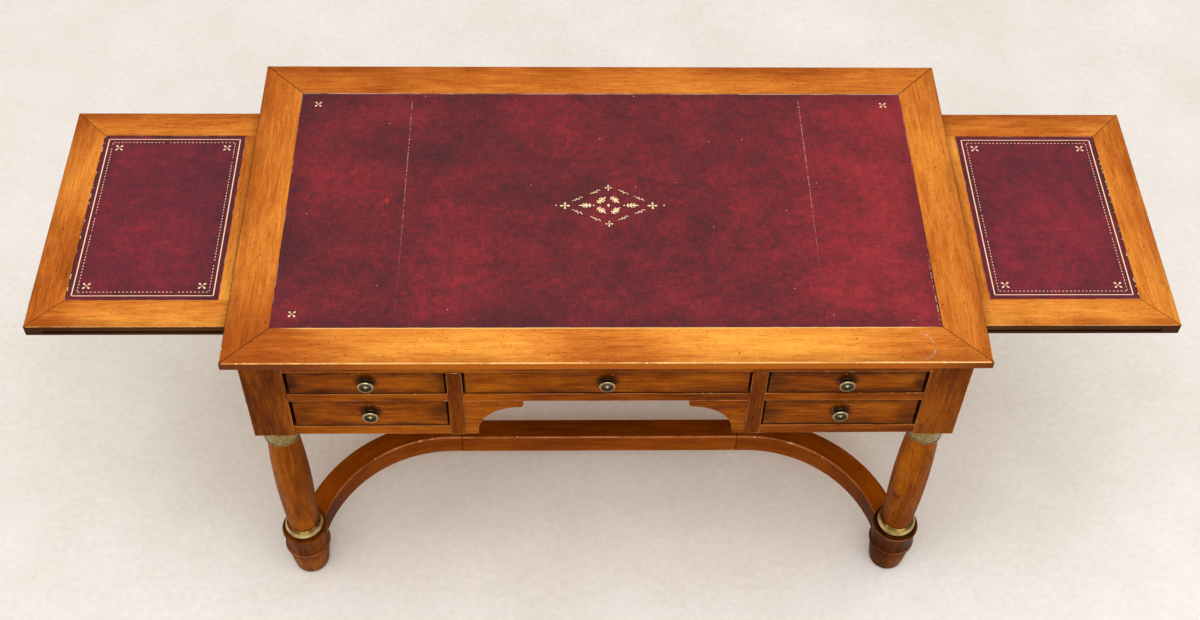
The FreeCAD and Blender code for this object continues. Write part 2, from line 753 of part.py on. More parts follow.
def drawer(name, x, z):
    """A front drawer in the opening between the x and z spans: face, dovetailed box and knob."""
    face_x = (x[0] + mm.drawer_side_gap, x[1] - mm.drawer_side_gap)
    face_z = (z[0] + mm.drawer_foot_gap, z[1] - mm.drawer_head_gap)
    face_front = mm.drawer_setback - case_y
    face_back = face_front + mm.face_thickness
    rear = -spine_face - mm.drawer_stop_gap
    box_z = (z[0] + mm.drawer_lift, face_z[1] - mm.drawer_side_drop)
    inner_x = (face_x[0] + mm.drawer_board, face_x[1] - mm.drawer_board)
    floor_under = box_z[0] + mm.drawer_bottom_rise
    floor_top = floor_under + mm.drawer_bottom
    floor = slab(f"{name}_floor", (inner_x[0] - mm.drawer_groove, inner_x[1] + mm.drawer_groove),
                 (face_back - mm.drawer_groove, rear), (floor_under, floor_top))
    sides = []
    for hand, edge, inward in (("left", face_x[0], 1), ("right", face_x[1], -1)):
        board = dovetailed_side(f"{name}_{hand}_board", face_back, rear, box_z)
        place(board, edge + mm.drawer_board * inward / 2, 0, 0)
        sides.append(cut(f"{name}_{hand}_side", board, floor))
    back = slab(f"{name}_back", inner_x, (rear - mm.drawer_board, rear), (floor_top, box_z[1]))
    middle = ((x[0] + x[1]) / 2, face_front, (face_z[0] + face_z[1]) / 2)
    bore = cross_hole(f"{name}_bore", middle, (-mm.overrun, mm.face_thickness + mm.overrun))
    panel = slab(f"{name}_panel", face_x, (face_front, face_back), face_z)
    face = cut(f"{name}_face", panel, *sides, floor, bore)
    box = group(f"{name}_box", [*sides, back, floor])
    return {"face": face, "box": box, "knob": knob(name, middle)}


def dovetailed_side(name, shoulder, rear, z):
    """A drawer side whose front end is sawn into two dovetails."""
    height = z[1] - z[0]
    tip = shoulder - mm.tail_length
    corners = [(rear, z[0]), (rear, z[1]), (shoulder, z[1])]
    for share in reversed(TAIL_CENTRE_SHARES):
        centre = z[0] + height * share
        root = height * TAIL_ROOT_SHARE / 2
        end = root + mm.tail_flare
        corners += [(shoulder, centre + root), (tip, centre + end), (tip, centre - end),
                    (shoulder, centre - root)]
    corners.append((shoulder, z[0]))
    return shaped(name, "YZ_Plane", corners, {}, mm.drawer_board)


def knob(name, middle):
    """A brass knob: backplate, waisted neck, rimmed face with a dish and a button, stud and nut."""
    out = -mm.knob_projection
    plate = -mm.knob_plate_thickness
    edge = out + mm.knob_edge
    dish = out + mm.knob_dish
    button = dish - mm.knob_button_rise
    rim_inner = mm.knob_radius - mm.knob_rim * 2
    stud_end = mm.face_thickness + mm.knob_nut_thickness + mm.knob_stud_end
    stud = mm.knob_stud_radius
    neck = (mm.knob_neck_radius, plate - mm.knob_rim)
    corners = [(0, stud_end), (stud, stud_end), (stud, 0), (mm.knob_plate_radius, 0),
               (mm.knob_plate_radius - mm.knob_rim, plate), neck, (mm.knob_radius, edge),
               (mm.knob_radius - mm.knob_rim, out), (rim_inner, out), (mm.knob_button_radius, dish),
               (mm.knob_button_flat, button), (0, button)]
    bows = {3: mm.knob_plate_bow, 5: -mm.knob_flare, 6: mm.knob_edge, 8: -mm.knob_dish_bow,
            9: mm.knob_button_bow}
    body = place(turned(f"{name}_knob", "XY_Plane", corners, bows), *middle)
    half = mm.knob_nut_side / 2
    inside = middle[1] + mm.face_thickness
    blank = slab(f"{name}_nut_blank", (middle[0] - half, middle[0] + half),
                 (inside, inside + mm.knob_nut_thickness), (middle[2] - half, middle[2] + half))
    hole = cross_hole(f"{name}_nut_hole", middle, (mm.face_thickness - mm.overrun, stud_end))
    return group(f"{name}_knob_set", [body, cut(f"{name}_nut", blank, hole)])


def drawers():
    """Five drawers at the front and five at the back, mirrored from the right-hand front ones."""
    upper = (divider_top, upper_opening_top)
    lower = (bottom_rail_top, divider_under)
    bank = (stile_outer, bank_edge)
    banked = {"upper": drawer("upper_drawer", bank, upper), "lower": drawer("lower_drawer", bank, lower)}
    middle = drawer("middle_drawer", across(stile_inner), upper)
    for level, pieces in banked.items():
        for part, right in pieces.items():
            left = mirrored(right, "x")
            node(f"front_right_{level}_drawer_{part}", right)
            node(f"front_left_{level}_drawer_{part}", left)
            node(f"back_right_{level}_drawer_{part}", mirrored(right, "y"))
            node(f"back_left_{level}_drawer_{part}", mirrored(left, "y"))
    for part, front in middle.items():
        node(f"front_middle_drawer_{part}", front)
        node(f"back_middle_drawer_{part}", mirrored(front, "y"))


def write_parts():
    doc.recompute()
    for item in doc.Objects:
        if {"Invalid", "Error"} & set(item.State):
            raise RuntimeError(f"{item.Label} did not build: {item.State}")
    os.makedirs("parts", exist_ok=True)
    for piece in exported:
        if piece.Shape.isNull() or not piece.Shape.isValid() or not piece.Shape.Solids:
            raise RuntimeError(f"{piece.Label} is not a sound solid")
        piece.Shape.exportStep(f"parts/{piece.Label}.step")
        box = piece.Shape.BoundBox
        print(piece.Label, len(piece.Shape.Solids), round(piece.Shape.Volume), box)
    print(len(exported), "nodes")


top()
frieze()
apron()
case_inside()
stretchers(legs())
slides()
slide_mouths()
slide_guides()
drawers()
write_parts()
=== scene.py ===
import math
import random

import bmesh
import bpy
from mathutils import Matrix, Vector


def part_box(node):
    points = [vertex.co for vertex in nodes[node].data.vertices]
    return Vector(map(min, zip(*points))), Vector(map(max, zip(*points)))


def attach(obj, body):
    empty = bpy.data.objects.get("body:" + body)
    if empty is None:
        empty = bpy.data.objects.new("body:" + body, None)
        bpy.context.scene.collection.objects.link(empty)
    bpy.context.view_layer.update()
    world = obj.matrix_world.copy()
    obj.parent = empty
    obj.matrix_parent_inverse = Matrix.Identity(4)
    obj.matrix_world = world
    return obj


# Partners desk: honey-brown waxed wood, burgundy leather tooled in gold, and aged brass.
# Metres, with the front at negative Y and the floor at zero. Each material is drawn in the coordinates
# of its own piece, so wear and stains travel with the drawers and the slides.

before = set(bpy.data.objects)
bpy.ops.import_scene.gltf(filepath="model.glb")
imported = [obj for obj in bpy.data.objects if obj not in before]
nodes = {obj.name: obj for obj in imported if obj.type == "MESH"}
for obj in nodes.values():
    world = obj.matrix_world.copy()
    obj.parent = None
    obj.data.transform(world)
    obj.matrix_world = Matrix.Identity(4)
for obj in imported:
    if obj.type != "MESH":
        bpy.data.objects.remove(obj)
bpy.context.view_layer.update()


def srgb(red, green, blue):
    """The linear colour of a value matched on a scale of 0 to 255."""
    shares = [value / 255 for value in (red, green, blue)]
    return tuple(s / 12.92 if s <= 0.04045 else ((s + 0.055) / 1.055) ** 2.4 for s in shares) + (1.0,)


class Graph:
    """One material and the short cuts that wire its nodes."""

    def __init__(self, name):
        self.material = bpy.data.materials.new(name)
        self.material.use_nodes = True
        self.tree = self.material.node_tree
        self.tree.nodes.clear()
        self.shader = self.add("ShaderNodeBsdfPrincipled")
        output = self.add("ShaderNodeOutputMaterial")
        self.link(self.shader.outputs["BSDF"], output.inputs["Surface"])

    def add(self, kind, **settings):
        node = self.tree.nodes.new(kind)
        for key, value in settings.items():
            setattr(node, key, value)
        return node

    def link(self, source, socket):
        """Wire a socket to another one, or set it to a constant."""
        if isinstance(source, bpy.types.NodeSocket):
            self.tree.links.new(source, socket)
        else:
            socket.default_value = source

    def coordinates(self, kind="Object"):
        return self.add("ShaderNodeTexCoord").outputs[kind]

    def normal(self):
        return self.add("ShaderNodeNewGeometry").outputs["Normal"]

    def rise(self):
        """The upward part of the surface's normal."""
        return self.split(self.normal())[2]

    def split(self, vector):
        node = self.add("ShaderNodeSeparateXYZ")
        self.link(vector, node.inputs[0])
        return tuple(node.outputs)

    def join(self, *parts):
        node = self.add("ShaderNodeCombineXYZ")
        for part, socket in zip(parts, node.inputs):
            self.link(part, socket)
        return node.outputs[0]

    def length(self, *parts):
        """Length of the vector with these parts."""
        node = self.add("ShaderNodeVectorMath", operation="LENGTH")
        self.link(self.join(*parts), node.inputs[0])
        return node.outputs["Value"]

    def calc(self, operation, *terms):
        node = self.add("ShaderNodeMath", operation=operation)
        for term, socket in zip(terms, node.inputs):
            self.link(term, socket)
        return node.outputs[0]

    def times(self, first, second):
        return self.calc("MULTIPLY", first, second)

    def minus(self, first, second):
        return self.calc("SUBTRACT", first, second)

    def most(self, first, second):
        return self.calc("MAXIMUM", first, second)

    def least(self, first, second):
        return self.calc("MINIMUM", first, second)

    def under(self, value, limit):
        return self.calc("LESS_THAN", value, limit)

    def over(self, value, limit):
        return self.calc("GREATER_THAN", value, limit)

    def size(self, value):
        return self.calc("ABSOLUTE", value)

    def total(self, *terms):
        """A sum of values, each with its weight."""
        result = 0.0
        for value, weight in terms:
            result = self.calc("MULTIPLY_ADD", value, weight, result)
        return result

    def span(self, value, low, high, start=0.0, finish=1.0):
        """A smooth step of the value from start at low to finish at high."""
        node = self.add("ShaderNodeMapRange", interpolation_type="SMOOTHSTEP")
        for term, socket in zip((value, low, high, start, finish), node.inputs):
            self.link(term, socket)
        return node.outputs[0]

    def fade(self, value, near, far, start=1.0):
        """A smooth step of the value from start at near to nothing at far."""
        return self.span(value, near, far, start, 0.0)

    def noise(self, vector, scale, detail=3.0, roughness=0.5, distortion=0.0):
        """Cloudy noise, its scale in waves per metre."""
        node = self.add("ShaderNodeTexNoise")
        self.link(vector, node.inputs["Vector"])
        for socket, value in (("Scale", scale), ("Detail", detail), ("Roughness", roughness),
                              ("Distortion", distortion)):
            node.inputs[socket].default_value = value
        return node.outputs["Fac"]

    def brushed(self, vector, scales, detail=3.0, roughness=0.5, distortion=0.0):
        """Streaky noise, with a scale of its own along each axis."""
        node = self.add("ShaderNodeVectorMath", operation="MULTIPLY")
        self.link(vector, node.inputs[0])
        node.inputs[1].default_value = scales
        return self.noise(node.outputs[0], 1.0, detail, roughness, distortion)

    def cells(self, vector, scale):
        """Distance from scattered points, and a random colour for each point."""
        node = self.add("ShaderNodeTexVoronoi", voronoi_dimensions="2D")
        self.link(vector, node.inputs["Vector"])
        node.inputs["Scale"].default_value = scale
        return node.outputs["Distance"], node.outputs["Color"]

    def nicks(self, vector, scale, radius, scarcity):
        """Small round marks, at the share of the scattered points whose chance passes the scarcity."""
        distance, chance = self.cells(vector, scale)
        return self.times(self.under(distance, radius), self.over(self.split(chance)[0], scarcity))

    def mix(self, factor, first, second, kind="RGBA"):
        """A blend of two colours, or of two vectors."""
        node = self.add("ShaderNodeMix", data_type=kind)
        place, result = {"RGBA": (6, 2), "VECTOR": (4, 1)}[kind]
        self.link(factor, node.inputs[0])
        self.link(first, node.inputs[place])
        self.link(second, node.inputs[place + 1])
        return node.outputs[result]

    def ramp(self, factor, stops):
        node = self.add("ShaderNodeValToRGB")
        self.link(factor, node.inputs[0])
        points = node.color_ramp.elements
        while len(points) < len(stops):
            points.new(0.5)
        for point, (place, colour) in zip(points, stops):
            point.position = place
            point.color = colour
        return node.outputs[0]

    def relief(self, height, strength, depth, normal=None):
        node = self.add("ShaderNodeBump")
        node.inputs["Strength"].default_value = strength
        node.inputs["Distance"].default_value = depth
        if normal is not None:
            self.link(normal, node.inputs["Normal"])
        self.link(height, node.inputs["Height"])
        self.link(node.outputs["Normal"], self.shader.inputs["Normal"])

    def set(self, **sockets):
        """Wire the shader's own sockets, and hand over the material."""
        for name, source in sockets.items():
            self.link(source, self.shader.inputs[name.replace("_", " ")])
        return self.material


# Wood. A tone is a list of levels, from dark to pale, and the colour at each.

HONEY = [(0.34, srgb(126, 54, 16)), (0.46, srgb(186, 98, 32)), (0.56, srgb(220, 132, 50)),
         (0.68, srgb(250, 172, 70))]
CASE = [(0.4, srgb(80, 32, 1)), (0.5, srgb(136, 64, 1)), (0.6, srgb(180, 98, 10))]
UPRIGHT = [(0.41, srgb(70, 28, 2)), (0.5, srgb(108, 49, 2)), (0.59, srgb(148, 77, 8))]
STILE = [(0.4, srgb(70, 28, 1)), (0.5, srgb(106, 47, 1)), (0.6, srgb(142, 71, 6))]
LEG = [(0.39, srgb(84, 36, 2)), (0.5, srgb(130, 63, 3)), (0.61, srgb(176, 96, 12))]
FOOT = [(0.4, srgb(46, 17, 1)), (0.5, srgb(78, 33, 1)), (0.6, srgb(122, 62, 8)), (0.7, srgb(172, 100, 20))]
STRETCHER = [(0.37, srgb(102, 42, 2)), (0.5, srgb(146, 68, 4)), (0.63, srgb(176, 92, 14))]
PLAIN = [(0.37, srgb(140, 96, 52)), (0.5, srgb(182, 134, 80)), (0.63, srgb(206, 162, 106))]
# Near-black of soot, pores, dents, cracks and joints, also used for painted shade in corners and gaps
SOOT_AND_SHADE = srgb(34, 14, 4)
CREAM = srgb(250, 224, 176)
WAX_TINT = srgb(255, 170, 90)

# Dents and worm holes: cells per metre, the chance of none, and the least and greatest radius in cells
SPECKS = ((28.0, 0.66, 0.012, 0.045), (75.0, 0.7, 0.025, 0.075), (160.0, 0.78, 0.05, 0.12))

# How far from a sharp edge it is rubbed, and the rays that look for edges and corners
ARRIS_REACH = 0.003
EDGE_SAMPLES = 6


def timber(graph, place, tones, lift=0.0, cloudy=0.45):
    """Colour and height of old planed wood, its grain along the first coordinate; a lift makes it paler."""
    along, across, through = place
    solid = graph.join(along, across, through)
    cloud = graph.brushed(solid, (3, 9, 9), 4.0, 0.6)
    figure = graph.brushed(solid, (10, 110, 110), 4.0, 0.65, 0.5)
    streak = graph.brushed(solid, (16, 420, 420), 3.0, 0.65)
    flat = graph.join(along, graph.calc("ADD", across, through), 0.0)
    fleck = graph.span(graph.brushed(flat, (45, 330, 1), 3.0, 0.6), 0.5, 0.68)
    balance = 0.291 - cloudy / 2
    level = graph.total((cloud, cloudy), (1.0, balance), (figure, 0.22), (streak, 0.22), (fleck, -0.035),
                        (lift, 1.0))
    colour = graph.ramp(level, tones)
    pores = graph.span(graph.brushed(flat, (70, 900, 1), 2.0), 0.58, 0.74)
    colour = graph.mix(graph.times(pores, 0.55), colour, SOOT_AND_SHADE)
    strokes = graph.span(graph.brushed(flat, (30, 340, 1), 3.0, 0.6), 0.63, 0.72)
    dents = graph.most(specks(graph, flat), graph.times(strokes, 0.7))
    colour = graph.mix(graph.times(dents, 0.8), colour, SOOT_AND_SHADE)
    return colour, graph.total((streak, 0.25), (pores, -1.0), (dents, -2.0))


def specks(graph, flat):
    """Small dark dents and worm holes, scattered thinly and in different sizes."""
    wobble = graph.span(graph.noise(flat, 420.0, 1.0), 0.3, 0.7, 0.6, 1.5)
    found = 0.0
    for spacing, scarcity, smallest, greatest in SPECKS:
        distance, chance = graph.cells(flat, spacing)
        likely, size, _ = graph.split(chance)
        reach = graph.times(graph.span(size, 0.2, 1.0, smallest, greatest), wobble)
        hit = graph.times(graph.under(distance, reach), graph.over(likely, scarcity))
        found = graph.most(found, hit)
    return found


def waxed(graph, colour, height, gloss=0.34, sheen=0.03, normal=None):
    """Finish wood with a worn wax polish, whose sheen takes the colour of the wood."""
    haze = graph.noise(graph.coordinates(), 11.0, 4.0, 0.6)
    roughness = graph.span(haze, 0.3, 0.7, gloss - 0.08, gloss + 0.12)
    graph.relief(height, strength=0.25, depth=0.0006, normal=normal)
    return graph.set(Base_Color=colour, Roughness=roughness, Specular_IOR_Level=sheen,
                     Specular_Tint=WAX_TINT)


def ordered(graph, grain):
    """The piece's coordinates, with the one that the grain follows first."""
    x, y, z = graph.split(graph.coordinates())
    return {"x": (x, y, z), "y": (y, x, z), "z": (z, x, y)}[grain]


def hollow(graph, reach):
    """How deep a point sits in a corner."""
    node = graph.add("ShaderNodeAmbientOcclusion", samples=EDGE_SAMPLES)
    node.inputs["Distance"].default_value = reach
    return graph.fade(node.outputs["AO"], 0.35, 0.95)


def grime_and_shade(graph, colour, reach=0.03, strength=0.6):
    """Darken the corners: old dirt and wax, and painted shade where the corners lie in shade."""
    return graph.mix(graph.times(hollow(graph, reach), strength), colour, SOOT_AND_SHADE)


def arris(graph):
    """How near a point lies to a sharp edge, and the normal there with the edge rounded off."""
    rounded = graph.add("ShaderNodeBevel", samples=EDGE_SAMPLES)
    rounded.inputs["Radius"].default_value = ARRIS_REACH
    facing = graph.add("ShaderNodeVectorMath", operation="DOT_PRODUCT")
    graph.link(rounded.outputs[0], facing.inputs[0])
    graph.link(graph.normal(), facing.inputs[1])
    return graph.fade(facing.outputs["Value"], 0.84, 0.98), rounded.outputs[0]


def rubbed(graph, colour, edge, pale, faintest):
    """Pale an edge, partly as rubbed wood and partly as painted highlight, with chips of bare ground."""
    place = graph.coordinates()
    rub = graph.span(graph.noise(place, 14.0, 4.0, 0.6), 0.38, 0.58, faintest, 1.0)
    colour = graph.mix(graph.times(edge, rub), colour, pale)
    chips = graph.span(graph.noise(place, 85.0, 3.0, 0.6), 0.62, 0.66)
    return graph.mix(graph.times(edge, chips), colour, CREAM)


def plain_wood(name, grain):
    """Unfinished wood of the insides."""
    graph = Graph(name)
    colour, height = timber(graph, ordered(graph, grain), PLAIN)
    return waxed(graph, grime_and_shade(graph, colour, strength=0.3), height)


def case_wood(name, grain, tones):
    """Wood of the case, with painted shade in its corners, its free edges rubbed pale and its upward-facing
    arrises given a painted highlight.
    """
    graph = Graph(name)
    colour, height = timber(graph, ordered(graph, grain), tones)
    edge, rounded = arris(graph)
    free = graph.fade(hollow(graph, 0.012), 0.5, 0.9)
    upright = graph.fade(graph.size(graph.rise()), 0.2, 0.5)
    # Painted highlight on the upward-facing arrises of upright faces, joined to the rubbed free edges
    crest_highlight = graph.times(graph.span(graph.split(rounded)[2], 0.12, 0.4), upright)
    bare = graph.most(graph.times(edge, free), crest_highlight)
    colour = rubbed(graph, grime_and_shade(graph, colour), bare, srgb(224, 146, 88), faintest=0.2)
    return waxed(graph, colour, height, normal=rounded)


def turned_wood(name, tones):
    """Turned wood, with drying cracks along the grain here and there, a patchy painted highlight on its
    upward-facing shoulders, painted shade in its corners and a paler foot.
    """
    graph = Graph(name)
    place = graph.coordinates()
    x, _, z = graph.split(place)
    scuffed = graph.fade(z, 0.05, 0.085, 0.066)
    upper = graph.span(z, 0.3, 0.5)
    right = graph.span(x, -0.5, 0.5)
    lift = graph.total((scuffed, 1.0), (upper, 0.03), (right, -0.022), (1.0, -0.004))
    colour, height = timber(graph, ordered(graph, "z"), tones, lift)
    vein = graph.brushed(place, (26, 26, 7), 3.0, 0.55, 0.6)
    thin = graph.fade(graph.size(graph.minus(vein, 0.5)), 0.002, 0.012)
    crack = graph.times(thin, graph.span(graph.noise(place, 9.0, 2.0), 0.54, 0.64))
    colour = graph.mix(graph.times(crack, 0.75), colour, SOOT_AND_SHADE)
    colour = grime_and_shade(graph, colour, reach=0.02, strength=0.35)
    rise = graph.rise()
    # Painted highlight on the shoulders that face upwards, made patchy
    shoulder_highlight = graph.times(graph.span(rise, 0.4, 0.65), graph.fade(rise, 0.75, 0.95))
    worn = graph.span(graph.noise(place, 16.0, 3.0), 0.42, 0.6, 0.08, 0.45)
    colour = graph.mix(graph.times(shoulder_highlight, worn), colour, srgb(206, 138, 104))
    return waxed(graph, colour, graph.total((height, 1.0), (crack, -2.0)), gloss=0.4)


# The stretchers in plan, from the middle of the desk: the curve of a bend, and a rail's outer face
BEND_CENTRE = (0.33, 0.376)
BEND_RADIUS = 0.29
BEND_INNER_RADIUS = 0.27
RAIL_FACE = 0.106
STRETCHER_TENON = 0.022


def round_the_bend(graph):
    """A bend's own coordinates: the angle, and the distance from the centre of its curve."""
    x, y, _ = graph.split(graph.coordinates())
    across = graph.minus(graph.size(x), BEND_CENTRE[0])
    along = graph.minus(graph.size(y), BEND_CENTRE[1])
    return graph.calc("ARCTAN2", along, across), graph.length(across, along, 0.0)


def stretcher_wood(name, bent):
    """A stretcher with painted shade on its top and towards the legs, and its front edge rubbed pale with a
    painted highlight that fades near the leg; a bend's grain runs round the curve.
    """
    graph = Graph(name)
    x, y, z = graph.split(graph.coordinates())
    if bent:
        turn, radius = round_the_bend(graph)
        place = (graph.times(turn, BEND_RADIUS), radius, z)
        inside = graph.minus(radius, BEND_INNER_RADIUS)
        near_leg = graph.span(turn, -1.4, -0.3)
        at_leg = graph.span(turn, -0.75, -0.2)
    else:
        place = (x, y, z)
        inside = graph.minus(RAIL_FACE, graph.size(y))
        near_leg = 0.0
        at_leg = 0.0
    colour, height = timber(graph, place, STRETCHER)
    rise = graph.rise()
    # Painted shade: the top, which lies under the desk, and the sides towards the legs
    top_shade = graph.times(graph.span(rise, 0.6, 0.95), graph.total((1.0, 0.4), (near_leg, -0.4)))
    shaded = graph.times(graph.fade(rise, 0.2, 0.6), graph.total((near_leg, 0.5), (at_leg, 0.38)))
    colour = graph.mix(graph.most(top_shade, shaded), colour, srgb(60, 22, 3))

    rail_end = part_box("stretcher_rails")[1]
    below = graph.minus(rail_end.z, z)
    # The front edge: rubbed pale with a painted highlight, weaker near the leg where the painted shade falls
    edge = graph.times(graph.fade(graph.most(inside, below), 0.0016, 0.004),
                       graph.total((1.0, 0.85), (near_leg, -0.6)))
    colour = grime_and_shade(graph, colour, reach=0.02, strength=0.45)
    colour = rubbed(graph, colour, edge, srgb(226, 144, 88), faintest=0.4)
    joint = graph.size(graph.minus(graph.size(x), rail_end.x - STRETCHER_TENON))
    colour = graph.mix(graph.fade(joint, 0.0006, 0.0018, 0.7), colour, SOOT_AND_SHADE)
    return waxed(graph, colour, height, gloss=0.28)


def frame_masks(graph, inner, outer):
    """How far a point of a mitred frame lies inside its edge, and how near a mitre."""
    x, y, _ = graph.split(graph.coordinates())
    reach_x = graph.size(x)
    reach_y = graph.size(y)
    edge = graph.least(graph.minus(outer.x, reach_x), graph.minus(outer.y, reach_y))
    past_x = graph.minus(reach_x, inner.x)
    past_y = graph.minus(reach_y, inner.y)
    corner = graph.over(graph.least(past_x, past_y), -0.001)
    apart = graph.size(graph.minus(past_x, past_y))
    return edge, graph.times(graph.fade(apart, 0.0, 0.006), corner)


def worn_frame(graph, colour, inner, outer, side_shade_tone):
    """Wear of a mitred frame: browner outwards, dark mitres, and rubbed and chipped arrises; painted shade
    on the sides and on the arrises away from the front, and a painted highlight on the front arrises.
    """
    place = graph.coordinates()
    _, y, z = graph.split(place)
    edge, mitre = frame_masks(graph, inner, outer)
    blot = graph.span(graph.noise(place, 9.0, 4.0, 0.6), 0.35, 0.65, 0.3, 1.0)
    rim = graph.times(graph.fade(edge, 0.002, 0.036, 0.5), blot)
    colour = graph.mix(rim, colour, srgb(124, 50, 14))

    # Painted shade: the sides and the underside take a darker tone
    rise = graph.rise()
    below = graph.fade(z, outer.z - 0.008, outer.z - 0.005)
    side = graph.most(graph.fade(rise, 0.2, 0.6), below)
    colour = graph.mix(graph.times(side, 0.9), colour, side_shade_tone)

    bend = graph.times(graph.span(rise, 0.25, 0.5), graph.fade(rise, 0.9, 0.995))
    sharp, rounded = arris(graph)
    upper = graph.times(graph.fade(mitre, 0.0, 0.3), graph.minus(1.0, below))
    free = graph.times(graph.most(bend, sharp), upper)
    # Free arrises away from the front take painted shade; the front ones are rubbed pale with a painted
    # highlight
    facing = graph.span(y, 0.06 - outer.y, 0.02 - outer.y)
    aside = graph.times(free, graph.minus(1.0, facing))
    colour = graph.mix(graph.times(aside, 0.55), colour, srgb(92, 42, 16))
    colour = rubbed(graph, colour, graph.times(free, facing), srgb(248, 190, 116), faintest=0.35)
    colour = graph.mix(graph.span(mitre, 0.7, 0.95, 0.0, 0.6), colour, SOOT_AND_SHADE)
    return colour, rounded


# A sitter's elbows have rubbed the front border at both sides, and a wet glass has marked its right end
ELBOW = 0.3
GLASS_RING = (0.5655, -0.352)
GLASS_RADIUS = 0.032


def border_wood(name, grain):
    """The top's border: rubbed pale at the elbows and stained in the front corners, with painted light that
    makes it paler to the right and darker at the back, and a pale line along the leather's front edge.
    """
    graph = Graph(name)
    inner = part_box("top_leather")[1]
    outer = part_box("top_border_right")[1]
    x, y, _ = graph.split(graph.coordinates())
    aside = graph.size(x)
    front = graph.fade(y, -0.33, -0.29)
    elbows = graph.times(front, graph.fade(graph.size(graph.minus(aside, ELBOW)), 0.08, 0.36))
    corners = graph.total((graph.span(x, -0.46, -0.66), 1.0), (graph.span(x, 0.46, 0.66), 0.3))
    stained = graph.times(graph.span(y, -0.2, -0.34), corners)
    middle = graph.times(front, graph.fade(aside, 0.12, 0.3))
    # Painted light: paler to the right and darker at the back
    right = graph.span(x, -0.3, 0.5)
    back = graph.span(y, 0.28, 0.39)
    lift = graph.total((elbows, 0.115), (stained, -0.07), (middle, -0.036), (right, 0.024), (back, -0.035),
                       (1.0, -0.007))
    colour, height = timber(graph, ordered(graph, grain), HONEY, lift, cloudy=0.3)
    colour = graph.mix(graph.times(stained, 0.32), colour, srgb(146, 64, 20))
    colour = ring_mark(graph, colour)

    # A pale line along the leather's front edge: a rubbed arris with a painted highlight
    lip = graph.span(y, -0.0032 - inner.y, -0.0018 - inner.y)
    front_lip_wear_and_highlight = graph.times(lip, graph.under(y, 0.008 - inner.y))
    beside_hide = graph.fade(aside, 0.56, 0.61, 0.8)
    colour = graph.mix(graph.times(front_lip_wear_and_highlight, beside_hide), colour, srgb(255, 208, 124))

    ends = graph.most(graph.span(x, -0.36, -0.6), graph.span(x, 0.56, 0.7))
    side = graph.mix(ends, srgb(174, 90, 7), srgb(104, 46, 3))
    colour, rounded = worn_frame(graph, colour, inner, outer, side)
    return waxed(graph, grime_and_shade(graph, colour, reach=0.012, strength=0.35), height, sheen=0.06, normal=rounded)


def ring_mark(graph, colour):
    """Part of the pale ring that a wet glass left."""
    place = graph.coordinates()
    x, y, _ = graph.split(place)
    centre_x, centre_y = GLASS_RING
    away = graph.length(graph.minus(x, centre_x), graph.minus(y, centre_y), 0.0)
    off = graph.size(graph.minus(away, GLASS_RADIUS))
    patchy = graph.span(graph.noise(place, 160.0, 2.0), 0.4, 0.55, 0.0, 0.55)
    ring = graph.times(graph.fade(off, 0.0008, 0.0022), patchy)
    part = graph.span(x, centre_x + 0.004, centre_x + 0.014)
    return graph.mix(graph.times(ring, part), colour, srgb(198, 184, 170))


def slide_wood(name):
    """The frames of both slides: the grain turns at the mitres, each has its own stains, the left one has
    painted light near the desk, and painted shade darkens the corners and the grooved sides.
    """
    graph = Graph(name)
    x, y, z = graph.split(graph.coordinates())
    near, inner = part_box("slide_right_leather")
    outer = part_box("slide_right_frame")[1]
    reach = graph.size(x)
    past_x = graph.minus(reach, inner.x)
    past_y = graph.minus(graph.size(y), inner.y)
    end_board = graph.over(past_x, past_y)
    tail_board = graph.times(graph.under(reach, near.x), graph.under(past_y, 0.0))
    turned = graph.most(end_board, tail_board)
    place = graph.mix(turned, graph.join(x, y, z), graph.join(y, x, z), kind="VECTOR")

    front = graph.span(y, -0.1, -0.28)
    back = graph.span(y, 0.16, 0.28)
    far_right = graph.span(x, 0.96, 1.05)
    left_stain = graph.times(graph.span(x, -0.96, -1.05), graph.span(y, 0.1, -0.28))
    right_stain = graph.times(graph.span(x, 0.97, 1.06), front)
    # Painted light on the left slide's front board near the desk
    near_left = graph.times(graph.span(x, -0.95, -0.76), graph.under(x, 0.0))
    painted_light_left = graph.times(near_left, front)
    lift = graph.total((front, 0.03), (back, -0.03), (left_stain, -0.075), (right_stain, -0.06),
                       (painted_light_left, 0.045), (far_right, 0.035), (1.0, 0.01))
    colour, height = timber(graph, graph.split(place), HONEY, lift)
    # The sides take a near-black painted shade where the groove runs
    colour, rounded = worn_frame(graph, colour, inner, outer, srgb(24, 9, 3))
    return waxed(graph, grime_and_shade(graph, colour, strength=0.5), height, sheen=0.06, normal=rounded)


